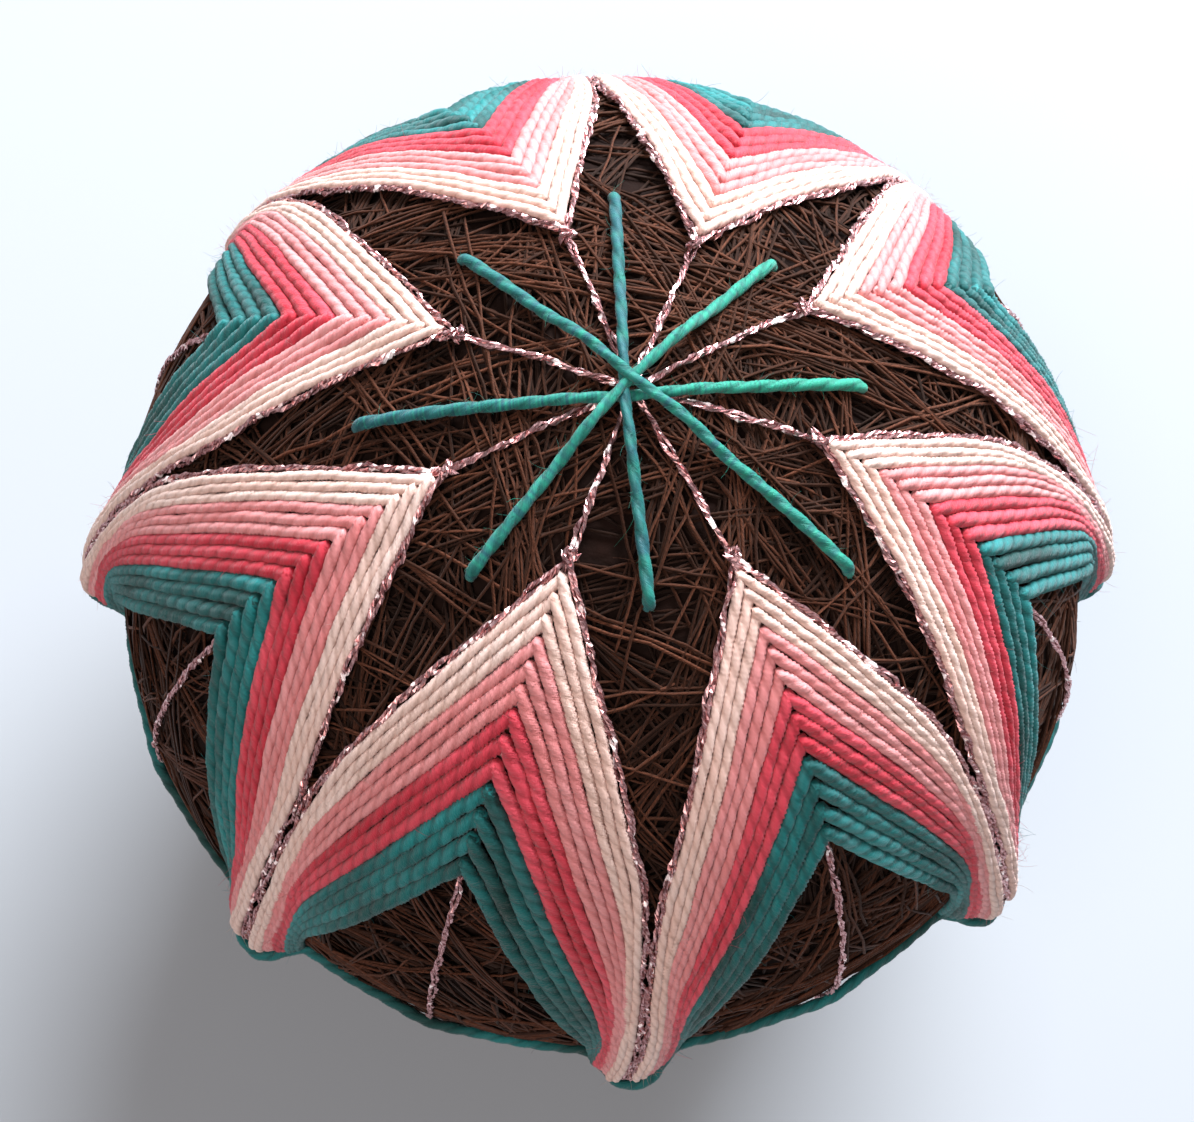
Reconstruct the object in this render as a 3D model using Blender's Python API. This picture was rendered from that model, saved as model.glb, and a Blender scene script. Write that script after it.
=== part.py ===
# A temari ball: a wound thread ball, its marker lines, a flower of zigzag rows with eight points, a star of straight
# stitches at the pole and a thread round the middle.
#
# The pole of the pattern is up, and the ball stands on a small flat spot. Every piece is modelled about the centre of
# the ball and hangs from an empty there. Lengths are in millimetres until a mesh is made, and angles are in degrees.
# Heights are measured out from the surface of the wound ball, and a colatitude is measured down from the pole.

import math

import bmesh
import bpy
from mathutils import Vector

METRES = 0.001
GAP = 0.3
RADIUS = 35.0
FOOT_RADIUS = 8.0
FOOT_DEPTH = math.sqrt(RADIUS**2 - FOOT_RADIUS**2)
BALL_FACES = dict(round=40, down=22)

# A thread's cross section, and the flatter one of the metallic marker lines.
THREAD = dict(width=0.85, thickness=0.75, sides=6)
MARKER = dict(width=0.6, thickness=0.4, hub_radius=1.3, hub_sides=16, low_end=160.0, steps=16)

# Rows are counted outwards from the pole. They lie side by side on the ball, between back and face, and are raised
# along the start of each leg, where they turn over a marker line.
ROWS = 14
FACE, BACK = 1.15, 0.4
SPINE = dict(lift=0.55, length=0.12, fade=0.2)

# Towards an outer point each row closes in on the middle, the outer rows faster than the inner ones, until they lie
# in a bundle: its half width, how its crest and its foot differ from the face, and how far up the ball it fades out.
CLOSING = dict(first=0.195, gain=0.175, power=1.6, softness=0.8)
BUNDLE = dict(half_width=3.4, crest=3.25, foot=0.7, reach=16.0, fade=1.3, steepest=6.0)

# Places along a leg, from its inner point at 0 to its outer point at 1, and on round the end of the bundle.
LEG_STEPS = (0, 0.09, 0.24, 0.4, 0.56, 0.72, 0.86, 1, 1.5)

# Each outer point lies on the equator at its own longitude, since the stitches are made by hand.
outer_points = (-2.2, 45.0, 90.0, 135.0, 178.0, 225.0, 270.0, 315.0)

# The inner points between them: longitude of the marker line, how far the first row strays from it, and the
# colatitudes of the first row and of the last.
inner_points = (
    dict(longitude=22.5, stray=2.9, first=18.5, last=50.6),
    dict(longitude=67.5, stray=-2.5, first=15.8, last=50.6),
    dict(longitude=112.5, stray=-4.5, first=16.7, last=50.6),
    dict(longitude=158.4, stray=0.3, first=17.2, last=50.2),
    dict(longitude=202.3, stray=-0.4, first=18.9, last=51.0),
    dict(longitude=246.6, stray=0.3, first=17.2, last=52.4),
    dict(longitude=293.4, stray=2.4, first=18.2, last=50.4),
    dict(longitude=336.8, stray=5.2, first=17.4, last=49.8),
)

# The rows of each colour, how deep the furrows between its threads are, and how thick the band is.
bands = (
    dict(name="metallic_row", start=0, end=1, furrow=0.12, depth=0.62, look="rose_metallic"),
    dict(name="cream_rows", start=1, end=4, furrow=0.2, depth=0.7, look="cream"),
    dict(name="light_pink_rows", start=4, end=7, furrow=0.2, depth=0.75, look="light_pink"),
    dict(name="deep_pink_rows", start=7, end=10, furrow=0.2, depth=0.75, look="deep_pink"),
    dict(name="teal_rows", start=10, end=14, furrow=0.2, depth=0.75, look="teal"),
)

# The four stitches of the star, from the lowest to the top one: colatitude and longitude of both ends, and how far
# its middle is pulled sideways. Near the pole each is lifted over the marker lines and over the stitches before it.
stitches = (
    dict(a=(28.3, 182.0), b=(23.7, 1.0), pull=1.0),
    dict(a=(22.3, 91.0), b=(21.8, 270.7), pull=0.0),
    dict(a=(20.7, 41.8), b=(24.7, 226.0), pull=0.0),
    dict(a=(23.0, 136.1), b=(28.3, 318.5), pull=0.0),
)
STITCH_STEPS = (0, 0.02, 0.12, 0.23, 0.32, 0.39, 0.45, 0.51, 0.57, 0.64, 0.72, 0.82, 0.9, 0.98, 1)
STAR = dict(layer=0.2, over_markers=0.72, lifted_within=3.7, down_beyond=7.5, end_size=0.62)

# The equator thread dips below each outer point and is lifted over each marker line.
EQUATOR = dict(dip=4.7, dip_width=5.5, over_marker=0.72, lift_width=5.0, steps=(2.5, 5, 8, 12))

looks = dict(
    brown=dict(colour=(0.075, 0.035, 0.02, 1), roughness=0.85, metallic=0.0),
    rose_metallic=dict(colour=(0.62, 0.32, 0.3, 1), roughness=0.35, metallic=0.8),
    cream=dict(colour=(0.8, 0.72, 0.62, 1), roughness=0.6, metallic=0.0),
    light_pink=dict(colour=(0.82, 0.45, 0.46, 1), roughness=0.6, metallic=0.0),
    deep_pink=dict(colour=(0.65, 0.08, 0.14, 1), roughness=0.6, metallic=0.0),
    teal=dict(colour=(0.02, 0.26, 0.26, 1), roughness=0.6, metallic=0.0),
)


def on_ball(longitude, colatitude, height):
    lon, col = math.radians(longitude), math.radians(colatitude)
    out = Vector((math.sin(col) * math.cos(lon), math.sin(col) * math.sin(lon), math.cos(col)))
    return out * (RADIUS + height)


def by_outer_point(longitude, along, sideways, height):
    """A point so far from an outer point towards the pole, and then so far to the side."""
    lon, s, y = math.radians(longitude), math.radians(along), math.radians(sideways)
    out = Vector((math.cos(lon) * math.cos(s), math.sin(lon) * math.cos(s), math.sin(s)))
    side = Vector((-math.sin(lon), math.cos(lon), 0))
    return (out * math.cos(y) + side * math.sin(y)) * (RADIUS + height)


def smooth(x):
    x = min(max(x, 0.0), 1.0)
    return x * x * (3 - 2 * x)


def add(name, bm, look):
    """A bmesh made an object with a material of its own, hung from the centre of the ball."""
    bmesh.ops.recalc_face_normals(bm, faces=bm.faces)
    mesh = bpy.data.meshes.new(name)
    bm.to_mesh(mesh)
    bm.free()
    mesh.shade_smooth()
    mesh.set_sharp_from_angle(angle=math.radians(50))
    material = bpy.data.materials.new(name)
    material.use_nodes = True
    shader = material.node_tree.nodes["Principled BSDF"]
    shader.inputs["Base Color"].default_value = looks[look]["colour"]
    shader.inputs["Roughness"].default_value = looks[look]["roughness"]
    shader.inputs["Metallic"].default_value = looks[look]["metallic"]
    mesh.materials.append(material)
    obj = bpy.data.objects.new(name, mesh)
    obj.parent = bpy.data.objects["ball_centre"]
    bpy.context.scene.collection.objects.link(obj)


def skin(sections, ring):
    """A grid laid over the sections, closed round each of them, and either round the ball or with a cap at each end."""
    rows = sections + sections[:1] if ring else sections
    points = [point for section in rows for point in section + section[:1]]
    bm = bmesh.new()
    bmesh.ops.create_grid(bm, x_segments=len(rows[0]), y_segments=len(rows) - 1)
    for vert, point in zip(bm.verts, points):
        vert.co = point * METRES
    bmesh.ops.remove_doubles(bm, verts=bm.verts, dist=1e-7)
    if not ring:
        bmesh.ops.holes_fill(bm, edges=bm.edges)
    return bm


def joined(pieces):
    """One body of pieces that run into each other."""
    objects = []
    for bm in pieces:
        bmesh.ops.recalc_face_normals(bm, faces=bm.faces)
        mesh = bpy.data.meshes.new("piece")
        bm.to_mesh(mesh)
        bm.free()
        objects.append(bpy.data.objects.new("piece", mesh))
        bpy.context.scene.collection.objects.link(objects[-1])
    for other in objects[1:]:
        union = objects[0].modifiers.new("union", "BOOLEAN")
        union.operation = "UNION"
        union.object = other
    bpy.context.view_layer.update()
    whole = bmesh.new()
    whole.from_object(objects[0], bpy.context.evaluated_depsgraph_get())
    for obj in objects:
        bpy.data.objects.remove(obj)
    return whole


def thread_section(centre, ahead, width, thickness, sides):
    """A flattened round section of a thread that lies on the ball. Four sides make it a flat strip."""
    out = centre.normalized()
    side = ahead.cross(out).normalized()
    turns = [math.tau * (k + 0.5) / sides for k in range(sides)]
    return [centre + side * (width / 2 * math.cos(a)) + out * (thickness / 2 * math.sin(a)) for a in turns]


def thread_ball():
    bm = bmesh.new()
    bmesh.ops.create_uvsphere(
        bm, u_segments=BALL_FACES["round"], v_segments=BALL_FACES["down"], radius=RADIUS * METRES
    )
    everything = bm.verts[:] + bm.edges[:] + bm.faces[:]
    foot = Vector((0, 0, -FOOT_DEPTH * METRES))
    bmesh.ops.bisect_plane(bm, geom=everything, plane_co=foot, plane_no=(0, 0, -1), clear_outer=True)
    bmesh.ops.holes_fill(bm, edges=bm.edges)
    add("thread_ball", bm, "brown")


def inner_point(point, row):
    """Longitude and colatitude at which a row turns on its marker line. Rows widen as they leave the pole."""
    part = row / ROWS
    colatitude = point["first"] + (point["last"] - point["first"]) * (0.72 * part + 0.28 * part**2)
    return point["longitude"] + point["stray"] * (1 - part), colatitude


def crest_angle(row):
    """Where a row lies round the bundle, from its crest to its foot. The metallic row keeps its full width."""
    return math.radians(4 + 18 * row if row < 1 else 22 + 68 * (row - 1) / (ROWS - 1))


def row_path(tip, side, row, t):
    """How far a row lies above an outer point and to the side of it, as t runs from 0 at the inner point to 1."""
    inner = inner_points[tip if side > 0 else tip - 1]
    longitude, colatitude = (math.radians(angle) for angle in inner_point(inner, row))
    step = longitude - math.radians(outer_points[tip])
    widest = math.degrees(math.asin(math.sin(colatitude) * abs(math.sin(step))))
    start = math.degrees(math.atan2(math.cos(colatitude), math.sin(colatitude) * math.cos(step)))
    along = start * (1 - t)
    narrowest = BUNDLE["half_width"] * math.sin(crest_angle(row))
    slope = CLOSING["first"] + CLOSING["gain"] * (row / ROWS) ** CLOSING["power"]
    excess = (widest - narrowest - slope * (start - along)) / CLOSING["softness"]
    return along, narrowest + CLOSING["softness"] * math.log1p(math.exp(excess))


def spine_lift(t):
    return SPINE["lift"] * max(0, 1 - t / SPINE["length"])


def row_place(tip, side, row, t):
    """A row's place, height and spread. Past 1, t turns round the end of the bundle, and is half-way round at 2."""
    along, spread = row_path(tip, side, row, min(t, 1))
    bend = max(t - 1, 0)
    if bend:
        other = row_path(tip, -side, row, 1)[1]
        spread += bend * (other - spread) / 2
    piled = math.exp(-((along / BUNDLE["reach"]) ** BUNDLE["fade"]))
    height = FACE + piled * (BUNDLE["crest"] * math.cos(crest_angle(row)) - BUNDLE["foot"]) + spine_lift(t)
    angle = math.radians(90 * bend)
    sideways = side * spread * math.cos(angle)
    return (outer_points[tip], along - spread * math.sin(angle), sideways, height), spread


def face_normal(tip, side, row, t):
    """The direction a band faces: straight out on the open ball, and partly sideways on the flank of a bundle."""
    place, _ = row_place(tip, side, row, t)
    longitude, along, sideways, height = place
    face = by_outer_point(*place)
    out = face.normalized()
    bend = math.radians(90 * max(t - 1, 0))
    away = by_outer_point(longitude, along - math.sin(bend), sideways + side * math.cos(bend), height) - face
    away = (away - out * away.dot(out)).normalized()
    (before, narrow), (after, wide) = row_place(tip, side, row - 0.05, t), row_place(tip, side, row + 0.05, t)
    fall = (before[3] - after[3]) / max(math.radians(wide - narrow) * RADIUS, 0.001)
    fall = min(fall, BUNDLE["steepest"]) * smooth((t - SPINE["length"]) / SPINE["fade"])
    return (out + away * fall).normalized()


def band_point(tip, side, row, t, sink):
    """A point so far behind the face of a band, but never below the band's back."""
    face = by_outer_point(*row_place(tip, side, row, t)[0])
    point = face - face_normal(tip, side, row, t) * sink
    lowest = RADIUS + BACK + spine_lift(t)
    return point.normalized() * max(point.length, lowest)


def half_gap(tip, side, row, t):
    """Half the gap between two bands, as a share of a row's width measured square to the rows."""
    row = min(max(row, 0.1), ROWS - 0.1)
    nearby = t + (0.02 if t < 1 else -0.02)
    face, further = (by_outer_point(*row_place(tip, side, row, at)[0]) for at in (t, nearby))
    before, after = (by_outer_point(*row_place(tip, side, at, t)[0]) for at in (row - 0.1, row + 0.1))
    ahead = (further - face).normalized()
    across = after - before
    across -= ahead * across.dot(ahead)
    return GAP / 2 * 0.2 / across.length


def band_section(tip, side, band, t):
    """A section across a band: along its face, with a furrow beside each thread, and back along its back."""
    low = band["start"] + half_gap(tip, side, band["start"], t)
    high = band["end"] - half_gap(tip, side, band["end"], t)
    steps = 2 * (band["end"] - band["start"])
    section = []
    for k in range(steps + 1):
        edge = 1.5 if k in (0, steps) else 1
        sink = band["furrow"] * edge if k % 2 == 0 else 0
        section.append(band_point(tip, side, low + (high - low) * k / steps, t, sink))
    for row in (high - 0.05, low + 0.05):
        section.append(band_point(tip, side, row, t, band["depth"]))
    return section


def zigzag_band(band):
    sections = []
    for tip in range(len(outer_points)):
        sections += [band_section(tip, -1, band, t) for t in LEG_STEPS]
        sections += [band_section(tip, 1, band, t) for t in (2,) + LEG_STEPS[:0:-1]]
    add(band["name"], skin(sections, True), band["look"])


def marker_lines():
    """Eight lines that follow the inner points, joined where they cross under the star."""
    height = GAP + MARKER["thickness"] / 2
    reach = math.degrees(MARKER["hub_radius"] / RADIUS)
    hub_turns = [360 * k / MARKER["hub_sides"] for k in range(MARKER["hub_sides"])]
    faces = [height + level * 0.58 * MARKER["thickness"] for level in (-1, 1)]
    pieces = [skin([[on_ball(turn, reach, face) for turn in hub_turns] for face in faces], False)]
    first_end = 0.75 * reach
    for point in inner_points:
        middle = []
        for k in range(MARKER["steps"] + 1):
            colatitude = first_end + (MARKER["low_end"] - first_end) * k / MARKER["steps"]
            stray = point["stray"] * min(max((50 - colatitude) / 33, 0), 1)
            middle.append(on_ball(point["longitude"] + stray, colatitude, height))
        sections = []
        for before, centre, after in zip(middle[:1] + middle, middle, middle[1:] + middle[-1:]):
            # A square section reaches its width at the corners, so this strip is as wide as is asked.
            width, thickness = math.sqrt(2) * MARKER["width"], math.sqrt(2) * MARKER["thickness"]
            sections.append(thread_section(centre, after - before, width, thickness, 4))
        pieces.append(skin(sections, False))
    add("marker_lines", joined(pieces), "rose_metallic")


def pole_star():
    """Four straight stitches, each laid over the one before at the pole and close to the ball at its ends."""
    pieces = []
    for layer, stitch in enumerate(stitches):
        a, b = (Vector((col * math.cos(math.radians(lon)), col * math.sin(math.radians(lon)), 0))
                for col, lon in (stitch["a"], stitch["b"]))
        across = Vector((0, 0, 1)).cross(b - a).normalized()
        points = []
        for part in STITCH_STEPS:
            flat = a.lerp(b, part) - across * stitch["pull"] * math.sin(math.pi * part) ** 4
            from_pole = math.radians(flat.length) * RADIUS
            near = smooth((STAR["down_beyond"] - from_pole) / (STAR["down_beyond"] - STAR["lifted_within"]))
            height = GAP + THREAD["thickness"] / 2 + near * (STAR["over_markers"] + STAR["layer"] * layer)
            points.append(on_ball(math.degrees(math.atan2(flat.y, flat.x)), flat.length, height))
        sections = []
        for before, centre, after in zip(points[:1] + points, points, points[1:] + points[-1:]):
            size = STAR["end_size"] if centre in (points[0], points[-1]) else 1
            width, thickness = THREAD["width"] * size, THREAD["thickness"] * size
            sections.append(thread_section(centre, after - before, width, thickness, THREAD["sides"]))
        pieces.append(skin(sections, False))
    add("pole_star", joined(pieces), "teal")


def equator_thread():
    """One thread round the middle, with its points close together where it dips."""
    points = []
    for tip, longitude in enumerate(outer_points):
        line = inner_points[tip]["longitude"] - longitude
        span = (outer_points[(tip + 1) % len(outer_points)] - longitude) % 360
        up = [span - step for step in reversed(EQUATOR["steps"])]
        for offset in (0, *EQUATOR["steps"], line - 5, line, line + 5, *up):
            down = EQUATOR["dip"] * math.exp(-((min(offset, span - offset) / EQUATOR["dip_width"]) ** 2))
            lift = EQUATOR["over_marker"] * max(0, 1 - abs(offset - line) / EQUATOR["lift_width"])
            points.append(on_ball(longitude + offset, 90 + down, GAP + THREAD["thickness"] / 2 + lift))
    sections = []
    for before, centre, after in zip(points[-1:] + points, points, points[1:] + points[:1]):
        sections.append(thread_section(centre, after - before, THREAD["width"], THREAD["thickness"], THREAD["sides"]))
    add("equator_thread", skin(sections, True), "teal")


for obj in list(bpy.data.objects):
    bpy.data.objects.remove(obj)
centre = bpy.data.objects.new("ball_centre", None)
centre.location.z = FOOT_DEPTH * METRES
bpy.context.scene.collection.objects.link(centre)

thread_ball()
marker_lines()
for band in bands:
    zigzag_band(band)
pole_star()
equator_thread()
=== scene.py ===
import math

import bmesh
import bpy
import numpy as np
from mathutils import Matrix, Vector


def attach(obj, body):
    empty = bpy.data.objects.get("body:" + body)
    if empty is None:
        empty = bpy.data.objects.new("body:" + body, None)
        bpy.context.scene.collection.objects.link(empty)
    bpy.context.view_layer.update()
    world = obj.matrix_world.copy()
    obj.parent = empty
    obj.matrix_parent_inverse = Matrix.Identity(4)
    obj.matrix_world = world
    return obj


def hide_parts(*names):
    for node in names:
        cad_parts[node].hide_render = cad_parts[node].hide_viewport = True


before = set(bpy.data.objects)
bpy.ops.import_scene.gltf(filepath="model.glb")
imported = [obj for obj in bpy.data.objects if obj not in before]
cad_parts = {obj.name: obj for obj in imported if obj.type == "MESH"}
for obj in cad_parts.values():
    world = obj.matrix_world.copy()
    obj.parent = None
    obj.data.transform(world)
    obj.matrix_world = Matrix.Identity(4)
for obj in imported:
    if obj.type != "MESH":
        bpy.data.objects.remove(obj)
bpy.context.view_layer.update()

# The whole ball. Shapes are worked out in millimetres about its centre, and angles are in degrees.
ball = {
    "radius": 35.0,
    "footRadius": 8.0,
    "plyTurn": 2.7,  # length of one full turn of the two plies
    "seed": 7,
}
footDepth = math.sqrt(ball["radius"] ** 2 - ball["footRadius"] ** 2)
draws = np.random.default_rng(ball["seed"])


# Camera at the photograph's angle to the pattern, fitted to its points.
photoView = {
    "distance": 4.0562,  # in ball radii
    "right": 0.0119,
    "up": -0.0128,
    "tilt": -18.167,
    "roll": -9.284,
    "spin": 12.286,
    "focalPixels": 1878.0,
    "imageWidth": 1194,
    "sensor": 36.0,
}


def makeCamera():
    toCamera = (
        Matrix.Rotation(math.radians(photoView["roll"]), 3, "Z")
        @ Matrix.Rotation(math.radians(photoView["tilt"]), 3, "X")
        @ Matrix.Rotation(math.radians(photoView["spin"]), 3, "Z")
    )
    toWorld = toCamera.transposed()
    offset = Vector((-photoView["right"], -photoView["up"], photoView["distance"]))
    place = Vector((0, 0, footDepth)) + toWorld @ offset * ball["radius"]
    data = bpy.data.cameras.new("camera")
    data.sensor_fit = "HORIZONTAL"
    data.sensor_width = photoView["sensor"]
    data.lens = photoView["sensor"] * photoView["focalPixels"] / photoView["imageWidth"]
    data.clip_start = 0.005
    camera = bpy.data.objects.new("camera", data)
    camera.matrix_world = Matrix.Translation(place * 0.001) @ toWorld.to_4x4()
    bpy.context.scene.collection.objects.link(camera)
    bpy.context.scene.camera = camera


makeCamera()
print("camera made")


# Node helpers
def feed(tree, node, inputs):
    # Each input takes a plain value or a link from another node.
    for name, value in inputs.items():
        if isinstance(value, bpy.types.NodeSocket):
            tree.links.new(value, node.inputs[name])
        else:
            node.inputs[name].default_value = value


def addNode(tree, kind, inputs=None, **settings):
    made = tree.nodes.new(kind)
    for name, value in settings.items():
        setattr(made, name, value)
    feed(tree, made, inputs or {})
    return made


def math2(tree, operation, a, b=0.0, c=0.0):
    return addNode(tree, "ShaderNodeMath", {0: a, 1: b, 2: c}, operation=operation).outputs[0]


def mixColour(tree, factor, a, b):
    return addNode(tree, "ShaderNodeMix", {0: factor, 6: a, 7: b}, data_type="RGBA").outputs[2]


def remap(tree, value, low, high, toLow=0.0, toHigh=1.0):
    made = addNode(tree, "ShaderNodeMapRange", {"Value": value, "From Min": low, "From Max": high,
                                                "To Min": toLow, "To Max": toHigh})
    return made.outputs["Result"]


def noise(tree, vector, scale, detail, **inputs):
    made = addNode(tree, "ShaderNodeTexNoise", {"Vector": vector, "Scale": scale, "Detail": detail, **inputs})
    return made.outputs[0]


def addBump(tree, height, distance, strength):
    made = addNode(tree, "ShaderNodeBump", {"Height": height, "Distance": distance, "Strength": strength})
    return made.outputs[0]


def newGroup(name, inputs, outputs):
    group = bpy.data.node_groups.new(name, "ShaderNodeTree")
    for label, value in inputs.items():
        group.interface.new_socket(label, in_out="INPUT", socket_type="NodeSocketFloat").default_value = value
    for label in outputs:
        group.interface.new_socket(label, in_out="OUTPUT", socket_type="NodeSocketFloat")
    return group, group.nodes.new("NodeGroupInput").outputs, group.nodes.new("NodeGroupOutput").inputs


def newMaterial(name):
    material = bpy.data.materials.new(name)
    material.use_nodes = True
    return material, material.node_tree, material.node_tree.nodes["Principled BSDF"]


# Twisted thread: the lobes of its plies, the fibres in them, and slow changes of shade along it. Each thread
# has a UV map of its length in tenths of a metre and its way round, its turn, and a tone of its own.
plies = {
    "inputs": {"Fibres": 5.0, "Stretch": 150.0, "Shade Length": 9.0},
    "fibreStep": 37.0,  # how far apart two threads read their fibres
    "shadeStep": 91.0,
}


def makeTwistGroup():
    group, given, made = newGroup("twistedPlies", plies["inputs"], ("Lobe", "Fibre", "Shade", "Tone"))
    uv = addNode(group, "ShaderNodeUVMap", uv_map="thread").outputs[0]
    parts = addNode(group, "ShaderNodeSeparateXYZ", {0: uv}).outputs
    turn = addNode(group, "ShaderNodeAttribute", attribute_name="turn").outputs["Fac"]
    tone = addNode(group, "ShaderNodeAttribute", attribute_name="tone").outputs["Fac"]
    lobe = math2(group, "COSINE", math2(group, "MULTIPLY", parts[1], 4 * math.pi))
    lobe = math2(group, "MULTIPLY_ADD", lobe, 0.5, 0.5)
    angle = math2(group, "MULTIPLY", math2(group, "SUBTRACT", turn, parts[1]), 2 * math.pi)
    along = math2(group, "MULTIPLY", parts[0], given["Stretch"])
    along = math2(group, "ADD", along, math2(group, "MULTIPLY", tone, plies["fibreStep"]))
    around = addNode(group, "ShaderNodeCombineXYZ", {
        0: along,
        1: math2(group, "MULTIPLY", math2(group, "COSINE", angle), given["Fibres"]),
        2: math2(group, "MULTIPLY", math2(group, "SINE", angle), given["Fibres"]),
    }).outputs[0]
    fibre = noise(group, around, 1.0, 3.0, Roughness=0.6)
    slow = math2(group, "MULTIPLY", parts[0], given["Shade Length"])
    slow = math2(group, "ADD", slow, math2(group, "MULTIPLY", tone, plies["shadeStep"]))
    shade = addNode(group, "ShaderNodeTexNoise", {"W": slow, "Scale": 1.0, "Detail": 2.0},
                    noise_dimensions="1D").outputs[0]
    for label, value in (("Lobe", lobe), ("Fibre", fibre), ("Shade", shade), ("Tone", tone)):
        group.links.new(value, made[label])
    return group


twistGroup = makeTwistGroup()


# Finishes of the pearl cotton: two shades of dye that it wanders between, and a painted shade colour that
# darkens the grooves between its plies and the gaps between its fibres.
cottonShades = {
    "cream": {"light": (0.90, 0.68, 0.61), "dark": (0.82, 0.53, 0.45), "deep": (0.38, 0.19, 0.13)},
    "lightPink": {"light": (0.85, 0.38, 0.38), "dark": (0.74, 0.23, 0.23), "deep": (0.38, 0.07, 0.06)},
    "deepPink": {"light": (0.82, 0.09, 0.13), "dark": (0.55, 0.018, 0.040), "deep": (0.18, 0.004, 0.008)},
    "teal": {"light": (0.012, 0.25, 0.25), "dark": (0.003, 0.042, 0.036), "deep": (0.0007, 0.012, 0.011)},
    "emerald": {"light": (0.020, 0.36, 0.23), "dark": (0.012, 0.11, 0.13), "deep": (0.001, 0.02, 0.02)},
}
cottonLook = {
    "toneShare": 0.45,  # of each thread's own tone in its shade
    "shadeShare": 1.1,
    "darkToLight": (0.4, 1.15),
    "fibreRange": (0.3, 0.7),
    # The next three set painted shade: how dark the gaps between the fibres get, and the width and strength
    # of the dark band along the groove between the plies.
    "shadeBetweenFibres": 0.3,
    "grooveWidth": 0.4,
    "grooveShade": 0.35,
    "lobeHeight": 1.6,
    "fibreHeight": 0.8,
    "bump": (0.00005, 0.8),
    "roughness": (0.65, 0.45),
    "finish": {"Sheen Weight": 0.15, "Sheen Roughness": 0.4, "Specular IOR Level": 0.3},
}


def cottonMaterial(name):
    material, tree, shader = newMaterial(name + "Cotton")
    shades = {key: (*value, 1) for key, value in cottonShades[name].items()}
    look = cottonLook
    twist = addNode(tree, "ShaderNodeGroup", node_tree=twistGroup).outputs
    slow = math2(tree, "MULTIPLY", twist["Shade"], look["shadeShare"])
    slow = math2(tree, "MULTIPLY_ADD", twist["Tone"], look["toneShare"], slow)
    colour = mixColour(tree, remap(tree, slow, *look["darkToLight"]), shades["dark"], shades["light"])
    fibre = remap(tree, twist["Fibre"], *look["fibreRange"])
    # Painted shade: darker between the fibres and along the groove between the two plies.
    fibreShade = math2(tree, "MULTIPLY", math2(tree, "SUBTRACT", 1.0, fibre), look["shadeBetweenFibres"])
    colour = mixColour(tree, fibreShade, colour, shades["deep"])
    grooveShade = remap(tree, twist["Lobe"], 0.0, look["grooveWidth"], look["grooveShade"], 0.0)
    colour = mixColour(tree, grooveShade, colour, shades["deep"])
    height = math2(tree, "MULTIPLY", fibre, look["fibreHeight"])
    height = math2(tree, "MULTIPLY_ADD", math2(tree, "SQRT", twist["Lobe"]), look["lobeHeight"], height)
    feed(tree, shader, {
        "Base Color": colour,
        "Normal": addBump(tree, height, *look["bump"]),
        "Roughness": remap(tree, twist["Fibre"], *look["fibreRange"], *look["roughness"]),
        **look["finish"],
    })
    return material


metallicLook = {
    "twist": {"Stretch": 300.0, "Fibres": 0.8},
    "dark": (0.22, 0.06, 0.06, 1),
    "light": (0.80, 0.48, 0.48, 1),
    "fibreRange": (0.35, 0.65),
    # paintedGlint: pale specks painted into the colour as highlights.
    "paintedGlint": (1.0, 0.84, 0.83, 1),
    "paintedGlintRange": (0.63, 0.68),
    "speckScale": 1100.0,
    "speckRange": (0.3, 0.7),
    "roughness": (0.4, 0.2),
    "metal": 0.9,
    "paintedGlintLess": 0.7,  # how much less metallic a painted glint is
    "bump": (0.0002, 0.5),
}


def metallicMaterial():
    material, tree, shader = newMaterial("roseMetallicThread")
    look = metallicLook
    twist = addNode(tree, "ShaderNodeGroup", look["twist"], node_tree=twistGroup).outputs
    colour = mixColour(tree, remap(tree, twist["Fibre"], *look["fibreRange"]), look["dark"], look["light"])
    place = addNode(tree, "ShaderNodeTexCoord").outputs["Object"]
    speck = noise(tree, place, look["speckScale"], 1.0)
    # Painted highlight: pale specks mixed into the colour, less metallic there.
    paintedGlint = remap(tree, speck, *look["paintedGlintRange"])
    less = math2(tree, "MULTIPLY", paintedGlint, look["paintedGlintLess"])
    feed(tree, shader, {
        "Base Color": mixColour(tree, paintedGlint, colour, look["paintedGlint"]),
        "Roughness": remap(tree, speck, *look["speckRange"], *look["roughness"]),
        "Metallic": math2(tree, "SUBTRACT", look["metal"], less),
        "Normal": addBump(tree, speck, *look["bump"]),
    })
    return material


wrapLook = {
    "twist": {"Stretch": 260.0, "Fibres": 1.5},
    # From near black to brown by each thread's tone; the near black is painted shade on threads that lie
    # under others.
    "dark": (0.007, 0.0027, 0.0017, 1),
    "light": (0.13, 0.043, 0.023, 1),
    # deep: the painted shade colour between the fibres
    "deep": (0.006, 0.0025, 0.002, 1),
    "tonePower": 1.6,
    "fibreRange": (0.35, 0.65),
    "shadeBetweenFibres": 0.8,
    "bump": (0.00005, 0.8),
    "finish": {
        "Roughness": 0.65,
        "Specular IOR Level": 0.1,
        "Specular Tint": (1.0, 0.75, 0.6, 1),
        "Sheen Weight": 0.05,
        "Sheen Tint": (0.9, 0.6, 0.5, 1),
    },
}


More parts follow.
